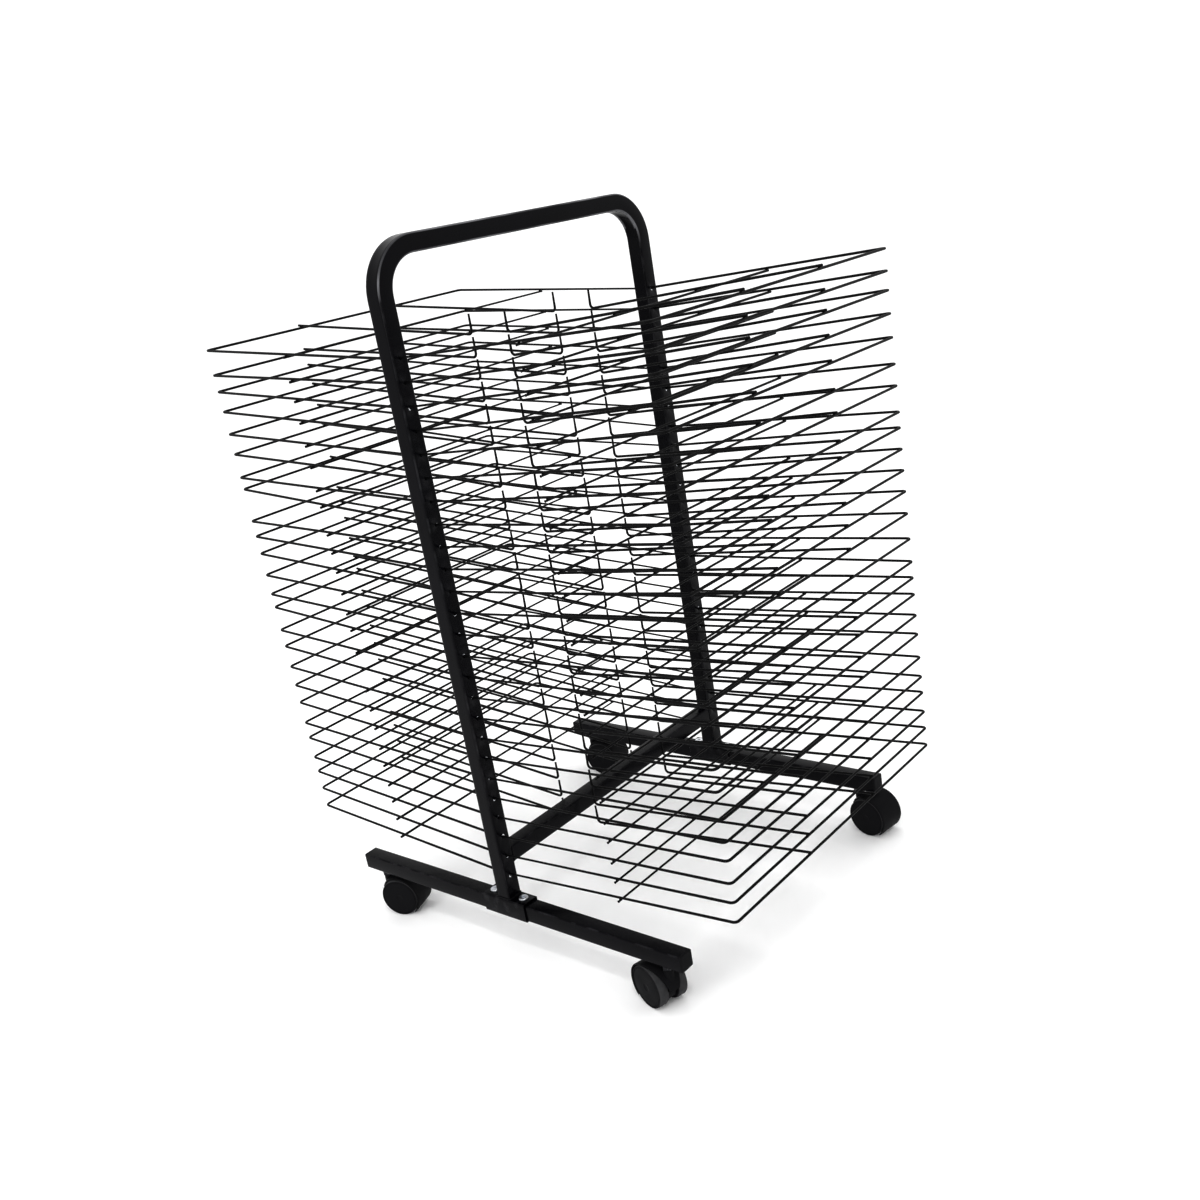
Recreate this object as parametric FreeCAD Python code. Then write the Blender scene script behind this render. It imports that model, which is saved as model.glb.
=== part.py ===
import FreeCAD
import Part
import math
import os

# Mobile double-sided wire drying rack: a bent square-tube frame on two feet with
# castors, carrying a stack of V-shaped wire shelves. Millimetres.
# X runs across the frame from upright to upright, Y along the feet, Z up.
# The origin is on the floor, midway between the four castors.

# --- shelves -------------------------------------------------------------------
SHELF_COUNT = 25
SHELF_PITCH = 25.0          # height from one shelf to the next
SHELF_WIDTH = 424.0         # between the centre lines of a wing's two side rods
LOWEST_SHELF = 109.0        # height where the lowest shelf's wings would meet
WING_REACH = 330.0          # from the middle plane to a wing's end rod
WING_SLOPE = 3.65           # degrees that a wing rises outwards
WIRE = 3.0                  # wire across its flats
ROD_INSET = 6.0             # how far a rim rod's end goes in past the upright's face
ROD_CLEARANCE = 0.1         # between a rod and its hole
CROSS_WIRE_REACH = 178.0    # from the middle plane to a wing's cross wire
WIRE_OVERHANG = 4.0         # how far crossing wires stick out past the rim's centre line
WELD_LINE = 0.05            # between a stop wire and the wires that carry it
STOP_WIRE_COUNT = 2         # stop wires per wing, which share out the shelf's width
STOP_SETBACK = 28.0         # from the middle plane to the upturned ends
STOP_HEIGHT = 22.5          # of the upturned ends above their wire

# --- frame ---------------------------------------------------------------------
TUBE = 20.0                 # square tube of the frame, crossbar and feet
TUBE_WALL = 1.5
TUBE_EDGE = 1.2             # width of the flats that stand for the tube's rounded edges
PUSH_BAR_RISE = 117.0       # from the top shelf's level to the top of the push bar
FRAME_BEND = 48.0           # bend radius of the two top corners, on the centre line
CROSSBAR_HEIGHT = 131.0     # height of the crossbar's centre line

# --- feet ----------------------------------------------------------------------
FOOT_LENGTH = 512.0         # over the end caps
FOOT_HEIGHT = 57.0          # floor to the underside of a foot
CAP_FLANGE = 2.0            # thickness of an end cap outside its tube
CAP_PLUG = 10.0             # length of an end cap inside its tube
CAP_PLUG_WALL = 2.0
CAP_FIT = 0.1               # between a cap's plug and the tube around it
SLEEVE = 24.0               # square sleeve under each upright, around the foot
SLEEVE_WALL = 1.2
SLEEVE_LENGTH = 66.0
CLAMP_SPACING = 46.0        # between the two clamp screws of a sleeve
SCREW_RADIUS = 3.0
SCREW_HEAD_RADIUS = 6.0
SCREW_HEAD_HEIGHT = 2.4
SCREW_CLEARANCE = 0.05
SOCKET_RADIUS = 2.0         # hexagon socket in a clamp screw's head
SOCKET_DEPTH = 1.5

# --- castors -------------------------------------------------------------------
STEM_INSET = 28.0           # from a foot's end to its castor's stem
STEM_RADIUS = 4.0
STEM_BOTTOM = 30.0          # height of the stem's lower end
STEM_ABOVE_NUT = 3.0
STEM_FIT = 0.05             # running clearance round the stem and the axle
COLLAR_WIDTH = 13.0         # hexagonal collar across its flats
COLLAR_GAP = 0.5            # between the collar and the hood that turns under it
NUT_WIDTH = 13.0
NUT_HEIGHT = 6.5
TRAIL = 20.0                # from the stem's axis to the axle
WHEEL_RADIUS = 25.0
WHEEL_WIDTH = 12.5
WHEEL_SIDES = 24            # flats that stand for the round tread
WHEEL_RECESS = 0.8          # depth of the dish in a wheel's outer face
WHEEL_RIM = 3.0             # width of the rim around the dish
WEB_WIDTH = 12.0            # of the hood's middle web, between the wheels
WHEEL_GAP = 0.5             # between a wheel and the web
HOOD_GAP = 1.0              # between a tread and the hood over it
HOOD_WALL = 2.0
HOOD_TOP = 49.8             # top of the neck that turns round the stem
HOOD_FRONT = 0.0            # degrees above level where the hood starts, stem side
HOOD_FLARE = 95.0           # degrees above level where it reaches its full width
HOOD_FACETS = 15            # of the hood's curve, each as long as one of the wheel's flats
WEB_DROP = 22.0             # from the axle to the web's lower edge
AXLE_RADIUS = 3.0
SCREW_SIDES = 12            # flats that stand for a round screw or neck
BORE_SIDES = 8              # flats that stand for a round hole, clear of what goes in
AXLE_SHORT = 4.0            # how far the axle's ends stay inside the wheels

# --- where the four castors stand and how they are turned, in degrees -----------
CASTORS = {
    "front_left": (-1, -1, -16.0),
    "rear_left": (-1, 1, 200.0),
    "front_right": (1, -1, 172.0),
    "rear_right": (1, 1, 190.0),
}

UPRIGHT_X = SHELF_WIDTH / 2
SLOPE = math.radians(WING_SLOPE)
FRAME_TOP = LOWEST_SHELF + SHELF_PITCH * (SHELF_COUNT - 1) + PUSH_BAR_RISE
STEM_REACH = FOOT_LENGTH / 2 - STEM_INSET
FOOT_TOP = FOOT_HEIGHT + TUBE
CASTOR_HALF_WIDTH = WEB_WIDTH / 2 + WHEEL_GAP + WHEEL_WIDTH
SLEEVE_BOTTOM = FOOT_HEIGHT - SLEEVE_WALL
SLEEVE_TOP = SLEEVE_BOTTOM + SLEEVE
HEX_LIFT = math.cos(math.radians(30))

X = FreeCAD.Vector(1, 0, 0)
Y = FreeCAD.Vector(0, 1, 0)
Z = FreeCAD.Vector(0, 0, 1)


def vec(x, y, z):
    return FreeCAD.Vector(x, y, z)


def save(name, solids):
    """Writes one node, as a solid or as a group of separate solids."""
    shape = solids[0] if len(solids) == 1 else Part.makeCompound(solids)
    shape.exportStep("parts/" + name + ".step")


def polygon_face(points):
    return Part.Face(Part.makePolygon(points + [points[0]]))


def hex_ring(at, along, normal, flats, turn_to):
    """Six corners of a wire's section round a point, slid along the wire to a plane.

    along is the wire's direction, normal points at two of its flats, and
    turn_to is the normal of the plane that the ring lies in.
    """
    side = along.cross(normal)
    corner = flats / 2 / HEX_LIFT
    ring = []
    for k in range(6):
        angle = math.radians(60 * k)
        offset = side * (corner * math.cos(angle)) + normal * (corner * math.sin(angle))
        slide = -offset.dot(turn_to) / along.dot(turn_to)
        ring.append(at + offset + along * slide)
    return ring


def wire_solid(points, plane_normal, flats=WIRE, flats_in_plane=False):
    """A hexagonal wire along a path in one plane, mitred at its corners."""
    runs = [(b - a).normalize() for a, b in zip(points, points[1:])]
    rings = []
    for k, at in enumerate(points):
        before = runs[max(k - 1, 0)]
        after = runs[min(k, len(runs) - 1)]
        mitre = (before + after).normalize()
        facing = before.cross(plane_normal) if flats_in_plane else plane_normal
        rings.append(hex_ring(at, before, facing, flats, mitre))
    faces = [polygon_face(rings[0]), polygon_face(rings[-1])]
    for low, high in zip(rings, rings[1:]):
        for k in range(6):
            n = (k + 1) % 6
            faces.append(polygon_face([low[k], low[n], high[n], high[k]]))
    solid = Part.Solid(Part.Shell(faces))
    if solid.Volume < 0:
        solid.reverse()
    return solid


# --- shelves -------------------------------------------------------------------

def wing_point(side, level, x, reach, lift=0.0):
    """A point on a wing's plane, lifted square to it. side is +1 or -1 along Y."""
    y = reach - lift * math.sin(SLOPE)
    z = level + reach * math.tan(SLOPE) + lift * math.cos(SLOPE)
    return vec(x, side * y, z)


def wing_normal(side):
    return vec(0, -side * math.sin(SLOPE), math.cos(SLOPE))


def rim_rod(side, level):
    """One rod bent into the wing's two sides and its end."""
    inner = TUBE / 2 - ROD_INSET
    path = [
        wing_point(side, level, -UPRIGHT_X, inner),
        wing_point(side, level, -UPRIGHT_X, WING_REACH),
        wing_point(side, level, UPRIGHT_X, WING_REACH),
        wing_point(side, level, UPRIGHT_X, inner),
    ]
    return wire_solid(path, wing_normal(side))


def cross_wire(side, level):
    """The wire that runs under the wing's side rods, about half-way out."""
    overhang = UPRIGHT_X + WIRE_OVERHANG
    start = wing_point(side, level, -overhang, CROSS_WIRE_REACH, -WIRE)
    end = wing_point(side, level, overhang, CROSS_WIRE_REACH, -WIRE)
    return wire_solid([start, end], wing_normal(side))


def stop_wire(side, level, x):
    """A wire that lies on the cross wire and the end rod and turns up as a paper stop."""
    on_cross = wing_point(side, level, x, CROSS_WIRE_REACH, WELD_LINE)
    on_end = wing_point(side, level, x, WING_REACH, WIRE + WELD_LINE)
    run = (on_end - on_cross).normalize()
    outer = on_end + run * WIRE_OVERHANG
    corner = on_cross - run * ((abs(on_cross.y) - STOP_SETBACK) / abs(run.y))
    top = corner + Z * STOP_HEIGHT
    return wire_solid([outer, corner, top], X, flats_in_plane=True)


def wing(side, level):
    """One side of a shelf: its rim, its cross wire and its stop wires."""
    solids = [rim_rod(side, level), cross_wire(side, level)]
    for k in range(STOP_WIRE_COUNT):
        x = -UPRIGHT_X + SHELF_WIDTH * (k + 1) / (STOP_WIRE_COUNT + 1)
        solids.append(stop_wire(side, level, x))
    return solids


def shelf_levels():
    return [LOWEST_SHELF + SHELF_PITCH * k for k in range(SHELF_COUNT)]


# --- frame ---------------------------------------------------------------------

def square(size, edge, centre, across, up):
    """A square outline as a face, its corners cut off by flats of the width edge."""
    half = size / 2
    cut = edge / math.sqrt(2)
    if cut <= 0:
        corners = [(half, half), (-half, half), (-half, -half), (half, -half)]
    else:
        corners = []
        for a, b in ((1, 1), (-1, 1), (-1, -1), (1, -1)):
            ends = [(a * half, b * (half - cut)), (a * (half - cut), b * half)]
            corners += ends if a == b else ends[::-1]
    return polygon_face([centre + across * a + up * b for a, b in corners])


def tube_outline(centre, across, up, size=TUBE, wall=TUBE_WALL, edge=TUBE_EDGE):
    outer = square(size, edge, centre, across, up)
    inner = square(size - 2 * wall, 0, centre, across, up)
    return outer.cut(inner)


def straight_tube(start, end, across, up, size=TUBE, wall=TUBE_WALL, edge=TUBE_EDGE):
    return tube_outline(start, across, up, size, wall, edge).extrude(end - start)


def rod_hole(side, x, level):
    """The cutter for a rim rod's hole in one wall of an upright."""
    start = wing_point(side, level, x, TUBE / 2 - TUBE_WALL - 1)
    end = wing_point(side, level, x, TUBE / 2 + 1)
    return wire_solid([start, end], wing_normal(side), WIRE + 2 * ROD_CLEARANCE)


def u_frame():
    """The frame's tube: two uprights and the push bar, bent from one length."""
    straight_top = FRAME_TOP - TUBE / 2 - FRAME_BEND
    bar_end = UPRIGHT_X - FRAME_BEND
    pieces = []
    for side in (-1, 1):
        foot = vec(side * UPRIGHT_X, 0, SLEEVE_TOP)
        top = vec(side * UPRIGHT_X, 0, straight_top)
        pieces.append(straight_tube(foot, top, X, Y))
        pivot = vec(side * bar_end, 0, straight_top)
        section = tube_outline(top, X, Y)
        pieces.append(section.revolve(pivot, Y * -side, 90))
    bar_start = vec(-bar_end, 0, FRAME_TOP - TUBE / 2)
    bar_finish = vec(bar_end, 0, FRAME_TOP - TUBE / 2)
    pieces.append(straight_tube(bar_start, bar_finish, Y, Z))
    frame = pieces[0].fuse(pieces[1:]).removeSplitter()
    holes = []
    for level in shelf_levels():
        for side in (-1, 1):
            holes.append(rod_hole(side, -UPRIGHT_X, level))
            holes.append(rod_hole(side, UPRIGHT_X, level))
    return frame.cut(Part.makeCompound(holes)).Solids[0]


def crossbar():
    """The low bar between the uprights' inner faces."""
    inner = UPRIGHT_X - TUBE / 2
    return straight_tube(vec(-inner, 0, CROSSBAR_HEIGHT), vec(inner, 0, CROSSBAR_HEIGHT), Y, Z)


# --- feet ----------------------------------------------------------------------

def clamp_positions(side):
    return [vec(side * UPRIGHT_X, end * CLAMP_SPACING / 2, 0) for end in (-1, 1)]


def stem_positions(side):
    return [vec(side * UPRIGHT_X, end * STEM_REACH, 0) for end in (-1, 1)]


def sleeve(side):
    """The larger tube that is welded under an upright and takes the foot."""
    middle = SLEEVE_BOTTOM + SLEEVE / 2
    start = vec(side * UPRIGHT_X, -SLEEVE_LENGTH / 2, middle)
    end = vec(side * UPRIGHT_X, SLEEVE_LENGTH / 2, middle)
    body = straight_tube(start, end, X, Z, SLEEVE, SLEEVE_WALL)
    radius = SCREW_RADIUS + SCREW_CLEARANCE
    for at in clamp_positions(side):
        base = at + Z * (SLEEVE_TOP - SLEEVE_WALL)
        body = body.cut(upright_prism(base, radius, SLEEVE_WALL, BORE_SIDES, outside=True))
    return body


def foot(side):
    """The tube that lies through the sleeve and carries a castor near each end."""
    middle = FOOT_HEIGHT + TUBE / 2
    reach = FOOT_LENGTH / 2 - CAP_FLANGE
    start = vec(side * UPRIGHT_X, -reach, middle)
    end = vec(side * UPRIGHT_X, reach, middle)
    body = straight_tube(start, end, X, Z)
    radius = STEM_RADIUS + STEM_FIT
    for at in stem_positions(side):
        base = at + Z * FOOT_HEIGHT
        body = body.cut(upright_prism(base, radius, TUBE_WALL, BORE_SIDES, outside=True))
    return body


def end_cap(side, end):
    """A flush plastic plug that closes one end of a foot."""
    middle = FOOT_HEIGHT + TUBE / 2
    face = vec(side * UPRIGHT_X, end * FOOT_LENGTH / 2, middle)
    seat = face - Y * (end * CAP_FLANGE)
    flange = square(TUBE, TUBE_EDGE, face, X, Z).extrude(seat - face)
    plug_size = TUBE - 2 * TUBE_WALL - 2 * CAP_FIT
    plug = tube_outline(seat, X, Z, plug_size, CAP_PLUG_WALL, 0)
    return flange.fuse(plug.extrude(Y * (-end * CAP_PLUG))).removeSplitter()


def upright_prism(at, radius, height, sides, outside=False):
    """A many-sided post; its flats lie inside the radius, or its corners outside it."""
    corner = radius / math.cos(math.pi / sides) if outside else radius
    points = []
    for k in range(sides):
        angle = 2 * math.pi * k / sides
        points.append(at + X * (corner * math.cos(angle)) + Y * (corner * math.sin(angle)))
    return polygon_face(points).extrude(Z * height)


def clamp_screw(at):
    """A zinc screw through the sleeve's top wall that presses on the foot."""
    shank = upright_prism(at + Z * FOOT_TOP, SCREW_RADIUS, SLEEVE_TOP - FOOT_TOP, SCREW_SIDES)
    seat = at + Z * SLEEVE_TOP
    head = upright_prism(seat, SCREW_HEAD_RADIUS, SCREW_HEAD_HEIGHT, SCREW_SIDES)
    socket_floor = seat + Z * (SCREW_HEAD_HEIGHT - SOCKET_DEPTH)
    socket = upright_prism(socket_floor, SOCKET_RADIUS, SOCKET_DEPTH, 6)
    return shank.fuse(head).removeSplitter().cut(socket)


# --- castors -------------------------------------------------------------------

def castor_stem(at):
    """The stem that a castor turns on: a round pin, a hexagonal collar and a thread."""
    collar_bottom = HOOD_TOP + COLLAR_GAP
    pin = Part.makeCylinder(STEM_RADIUS, collar_bottom - STEM_BOTTOM, at + Z * STEM_BOTTOM)
    collar_seat = at + Z * collar_bottom
    collar_height = FOOT_HEIGHT - collar_bottom
    collar = upright_prism(collar_seat, COLLAR_WIDTH / 2, collar_height, 6, outside=True)
    thread_length = TUBE_WALL + NUT_HEIGHT + STEM_ABOVE_NUT
    thread = upright_prism(at + Z * FOOT_HEIGHT, STEM_RADIUS, thread_length, BORE_SIDES)
    return collar.fuse([pin, thread]).removeSplitter()


def castor_nut(at):
    """The nut inside the foot that holds a stem."""
    seat = at + Z * (FOOT_HEIGHT + TUBE_WALL)
    nut = upright_prism(seat, NUT_WIDTH / 2, NUT_HEIGHT, 6, outside=True)
    radius = STEM_RADIUS + STEM_FIT
    return nut.cut(upright_prism(seat, radius, NUT_HEIGHT, BORE_SIDES, outside=True))


def side_point(x, forward, up):
    """A point beside a castor, measured from its axle: forward is towards the stem."""
    return vec(x, TRAIL - forward, WHEEL_RADIUS + up)


def disc(x_from, x_to, radius, sides):
    """A many-sided disc round the axle whose flats lie at the radius."""
    corner = radius / math.cos(math.pi / sides)
    points = []
    for k in range(sides):
        angle = 2 * math.pi * (k + 0.5) / sides
        points.append(side_point(x_from, corner * math.cos(angle), corner * math.sin(angle)))
    return polygon_face(points).extrude(X * (x_to - x_from))


def hood_arc(x, radius):
    """Points round the axle along the hood, from its front edge to its back one."""
    facet = 360 / WHEEL_SIDES
    points = []
    for k in range(HOOD_FACETS + 1):
        angle = math.radians(HOOD_FRONT + facet * k)
        points.append(side_point(x, radius * math.cos(angle), radius * math.sin(angle)))
    return points


def flare_cut(side, radius):
    """A wedge off the hood's front that leaves the outer part of a tread open."""
    flare = math.radians(HOOD_FLARE)
    low = side_point(side * (WEB_WIDTH / 2 + WHEEL_GAP), radius, 0)
    high = side_point(side * CASTOR_HALF_WIDTH, radius * math.cos(flare), radius * math.sin(flare))
    run = high - low
    outward = side_point(0, math.cos(flare / 2), math.sin(flare / 2)) - side_point(0, 0, 0)
    start = low - run - outward * (radius / 2)
    wedge = polygon_face([start, start + run * 3, start + X * (side * 4 * radius)])
    return wedge.extrude(outward * (2 * radius))


def castor_hood():
    """The moulded body: a hood over both wheels, the web between them and the neck."""
    inner = (WHEEL_RADIUS + HOOD_GAP) / math.cos(math.pi / WHEEL_SIDES)
    outer = WHEEL_RADIUS + HOOD_GAP + HOOD_WALL
    half = CASTOR_HALF_WIDTH
    hood = polygon_face(hood_arc(-half, outer) + hood_arc(-half, inner)[::-1]).extrude(X * (2 * half))
    hood = hood.cut([flare_cut(-1, outer), flare_cut(1, outer)])

    web_side = -WEB_WIDTH / 2
    web_outline = hood_arc(web_side, outer)
    facet = 2 * math.pi / WHEEL_SIDES
    for k in range(HOOD_FACETS + 1, WHEEL_SIDES):
        angle = math.radians(HOOD_FRONT) + facet * k
        web_outline.append(side_point(web_side, WEB_DROP * math.cos(angle), WEB_DROP * math.sin(angle)))
    web = polygon_face(web_outline).extrude(X * WEB_WIDTH)

    neck_foot = vec(0, 0, STEM_BOTTOM)
    neck = upright_prism(neck_foot, WEB_WIDTH / 2, HOOD_TOP - STEM_BOTTOM, SCREW_SIDES)
    body = hood.fuse([web, neck])
    socket_foot = neck_foot - Z * COLLAR_GAP
    socket = upright_prism(socket_foot, STEM_RADIUS + STEM_FIT, HOOD_TOP, BORE_SIDES, outside=True)
    axle_hole = disc(web_side, -web_side, AXLE_RADIUS + STEM_FIT, BORE_SIDES)
    return body.cut(socket).cut(axle_hole).removeSplitter()


def castor_axle():
    half = CASTOR_HALF_WIDTH - AXLE_SHORT
    return Part.makeCylinder(AXLE_RADIUS, 2 * half, side_point(-half, 0, 0), X)


def castor_wheel(side):
    """One of the two wheels, dished outside, with a blind hole for the axle."""
    inner = side * (WEB_WIDTH / 2 + WHEEL_GAP)
    outer = side * CASTOR_HALF_WIDTH
    wheel = disc(inner, outer, WHEEL_RADIUS, WHEEL_SIDES)
    dish = disc(outer - side * WHEEL_RECESS, outer, WHEEL_RADIUS - WHEEL_RIM, WHEEL_SIDES)
    bore_end = outer - side * (AXLE_SHORT - STEM_FIT)
    bore = disc(inner, bore_end, AXLE_RADIUS + STEM_FIT, BORE_SIDES)
    return wheel.cut(dish).cut(bore)


def place_castor(shape, corner):
    side, end, turn = CASTORS[corner]
    placed = shape.copy()
    placed.rotate(vec(0, 0, 0), Z, turn)
    placed.translate(vec(side * UPRIGHT_X, end * STEM_REACH, 0))
    return placed


def main():
    os.makedirs("parts", exist_ok=True)
    save("u_frame", [u_frame()])
    save("crossbar", [crossbar()])
    for name, side in (("left", -1), ("right", 1)):
        save("sleeve_" + name, [sleeve(side)])
        save("foot_" + name, [foot(side)])
    both = (-1, 1)
    save("foot_end_caps", [end_cap(side, end) for side in both for end in both])
    save("clamp_screws", [clamp_screw(at) for side in both for at in clamp_positions(side)])
    save("castor_stems", [castor_stem(at) for side in both for at in stem_positions(side)])
    save("castor_nuts", [castor_nut(at) for side in both for at in stem_positions(side)])
    for number, level in enumerate(shelf_levels(), 1):
        save("shelf_%02d" % number, wing(-1, level) + wing(1, level))
    hood = castor_hood()
    axle = castor_axle()
    wheels = {"a": castor_wheel(-1), "b": castor_wheel(1)}
    for corner in CASTORS:
        save("castor_hood_" + corner, [place_castor(hood, corner)])
        save("castor_axle_" + corner, [place_castor(axle, corner)])
        for letter, wheel in wheels.items():
            save("castor_wheel_" + corner + "_" + letter, [place_castor(wheel, corner)])


main()
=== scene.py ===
import math
import random

import bmesh
import bpy
from mathutils import Euler, Matrix, Vector


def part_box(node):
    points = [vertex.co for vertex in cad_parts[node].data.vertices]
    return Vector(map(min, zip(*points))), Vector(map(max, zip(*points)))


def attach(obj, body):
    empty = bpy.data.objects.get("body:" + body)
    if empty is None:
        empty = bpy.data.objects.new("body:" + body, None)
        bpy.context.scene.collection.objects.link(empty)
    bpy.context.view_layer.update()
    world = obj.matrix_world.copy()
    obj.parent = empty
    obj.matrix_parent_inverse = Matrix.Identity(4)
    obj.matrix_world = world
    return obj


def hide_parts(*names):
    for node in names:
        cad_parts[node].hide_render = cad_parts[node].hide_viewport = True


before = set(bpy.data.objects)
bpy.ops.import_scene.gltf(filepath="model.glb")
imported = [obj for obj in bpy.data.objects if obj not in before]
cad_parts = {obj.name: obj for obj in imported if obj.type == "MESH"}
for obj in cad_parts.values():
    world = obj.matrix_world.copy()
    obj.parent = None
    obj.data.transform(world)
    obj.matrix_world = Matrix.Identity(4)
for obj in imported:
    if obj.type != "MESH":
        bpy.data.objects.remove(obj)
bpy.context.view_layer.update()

# A mobile double-sided wire drying rack. Metres; X runs from upright to upright,
# Y along the feet, Z up, as in the frame.

MM = 0.001
EDGE_MARK = "edge"                  # the mesh attribute that mark_edges writes
X, Y, Z = Vector((1, 0, 0)), Vector((0, 1, 0)), Vector((0, 0, 1))

# --- sizes read from the frame ---------------------------------------------------
tube_low, tube_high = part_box("u_frame")
_, sleeve_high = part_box("sleeve_left")
foot_low, foot_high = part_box("foot_left")
_, cap_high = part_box("foot_end_caps")
bar_low, bar_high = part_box("crossbar")
first_low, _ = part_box("shelf_01")
last_low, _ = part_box("shelf_25")

TUBE = tube_high.y - tube_low.y
UPRIGHT_X = tube_high.x - TUBE / 2
FRAME_TOP = tube_high.z
SLEEVE_TOP = sleeve_high.z
SHELF_COUNT = 25
SHELF_PITCH = (last_low.z - first_low.z) / (SHELF_COUNT - 1)

# --- wires and wings -------------------------------------------------------------
FIRST_SHELF = 109 * MM
SLOPE = math.radians(3.65)
WIRE = 3.0 * MM
WIRE_SIDES = 12
WIRE_CHAMFER = 0.35 * MM            # at a wire's cut ends
WING_REACH = 330 * MM
CROSS_WIRE_REACH = 178 * MM
OVERHANG = 4 * MM                   # of crossing wires past the rim's centre line
ROD_INSET = 6 * MM                  # how far a rim rod goes in past the upright's face
RIM_BEND = 5 * MM
STOP_SETBACK = 28 * MM
STOP_HEIGHT = 22.5 * MM
STOP_BEND = 4.5 * MM
STOP_WIRES = 2                      # on each wing
WELD_RADII = Vector((1.5, 1.5, 0.8)) * MM
WING_TWIST = math.radians(0.15)     # how unevenly the plugged-in wings hang
WING_SLIP = 0.8 * MM                # wings sit this much further in, to sag inside the CAD's box
# Degrees that single wings sag below the others, or stand above them, by shelf.
FRONT_SAG = {25: 1.0, 24: 0.9, 20: 0.8, 19: 0.6, 18: 1.3, 12: 1.0, 11: 1.4, 10: 0.6,
             6: 0.6, 5: 0.7, 2: -0.6, 1: -1.0}
REAR_SAG = {25: -0.7, 23: -1.0, 22: -1.0, 21: -0.7, 20: -0.8, 18: -2.0, 17: 0.9,
            15: -0.6, 12: -1.1, 10: -0.6, 6: 0.6, 4: 0.6}

# --- tubes -----------------------------------------------------------------------
FRAME_BEND = 48 * MM
TUBE_WALL = 1.5 * MM
SLEEVE_WALL = 1.2 * MM
TUBE_EDGE = 2.0 * MM
SLEEVE_EDGE = 2.4 * MM
EDGE_STEPS = 4                      # along each rounded edge of a tube
# Faces that meet at an angle between these two belong to a rounded edge.
EDGE_ANGLES = math.radians(19), math.radians(50)
BEND_DIMPLE = 0.9 * MM              # how far a bend's inner wall is pressed in
HOLE_RADIUS = 1.75 * MM
HOLE_EDGE = 0.3 * MM                # width of a hole's rounded edge
HOLE_SIDES = 16
CHIP_SHARE = 0.7                    # of the holes have a chip in their coat
CHIP_INNER = HOLE_RADIUS + 0.32 * MM
BEAD_SPACING = 0.5 * MM             # between the rings of a weld bead
HIGHLIGHT_LOW, HIGHLIGHT_HIGH = 765 * MM, 785 * MM    # painted highlight along the frame's rounded edges, fading in above this
CLAMP_SPACING = 46 * MM
STEM_SPACING = 456 * MM             # between the castors of one foot

# --- castors ---------------------------------------------------------------------
TRAIL = 20 * MM                     # from the stem's axis to the axle
WHEEL_RADIUS = 25 * MM
WHEEL_WIDTH = 12.5 * MM
TREAD_START = 24.1 * MM, 24.7 * MM  # radii between which the disc's tone fades into the tread's lighter tone, which is painted light
WEB_WIDTH = 12 * MM
WHEEL_GAP = 0.5 * MM
WHEEL_INNER = WEB_WIDTH / 2 + WHEEL_GAP
CASTOR_HALF = WHEEL_INNER + WHEEL_WIDTH
HOOD_RADIUS = 27.75 * MM
HOOD_WALL = 1.7 * MM
HOOD_FRONT = 0.0                    # angle above level where the hood starts, stem side
HOOD_FLARE = math.radians(95)       # and how much later its outer sides start
HOOD_BACK = math.radians(225)
HOOD_STEPS = 40
WEB_SHADE_DROP = 21.8 * MM                # from the axle to the web's lower edge; this low part is a dark sheet standing in for the shade between the wheels
WEB_SIDES = 48
HOOD_TOP = 49.8 * MM
COLLAR_WIDTH = 13 * MM
COLLAR_GAP = 0.5 * MM
STEM_RADIUS = 4 * MM
STEM_BOTTOM, STEM_TOP = 30 * MM, 68 * MM
AXLE_RADIUS = 3 * MM
AXLE_SHORT = 4 * MM                 # how far the axle's ends stay inside the wheels
# Where each castor stands, as signs of X and Y, and its turn in degrees.
CASTORS = {
    "front_left": (-1, -1, -16.0),
    "rear_left": (-1, 1, 200.0),
    "front_right": (1, -1, 172.0),
    "rear_right": (1, 1, 190.0),
}


# --- camera, light and floor -----------------------------------------------------

FLOOR_SIZE = 60.0


def make_camera():
    camera = bpy.data.objects.new("camera", bpy.data.cameras.new("camera"))
    camera.data.sensor_width = 36
    camera.data.lens = 37.3
    camera.data.shift_x = 0.0183
    camera.data.shift_y = 0.0259
    camera.location = (-1.0498, -0.9875, 0.8344)
    turn = [math.radians(a) for a in (70.56, 9.68, -49.67)]
    camera.rotation_euler = Euler(turn, "XYZ")
    bpy.context.collection.objects.link(camera)
    bpy.context.scene.camera = camera


def make_light(name, place, aim, size, power):
    light = bpy.data.lights.new(name, "AREA")
    light.shape = "SQUARE"
    light.size = size
    light.energy = power
    lamp = bpy.data.objects.new(name, light)
    lamp.location = place
    lamp.rotation_euler = (Vector(aim) - Vector(place)).to_track_quat("-Z", "Y").to_euler()
    bpy.context.collection.objects.link(lamp)


def make_studio():
    scene = bpy.context.scene
    scene.view_settings.view_transform = "Standard"
    scene.view_settings.gamma = 0.8
    world = bpy.data.worlds.new("studio")
    world.use_nodes = True
    background = world.node_tree.nodes["Background"]
    background.inputs["Color"].default_value = (1, 1, 1, 1)
    background.inputs["Strength"].default_value = 1.25
    scene.world = world
    make_light("key", (-1.5, -1.7, 3.0), (-0.2, 0, 0.8), 0.3, 18)
    make_light("left", (-2.5, 0.3, 1.0), (0, 0, 0.1), 1.0, 20)
    make_light("top", (0.3, 0.2, 3.0), (0, 0, 0.4), 1.6, 12)

    floor = mesh_piece("floor", *square(FLOOR_SIZE), floor_material(), None)


def square(size):
    half = size / 2
    corners = [(-half, -half, 0), (half, -half, 0), (half, half, 0), (-half, half, 0)]
    return [Vector(c) for c in corners], [(0, 1, 2, 3)]


# --- materials -------------------------------------------------------------------

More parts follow.
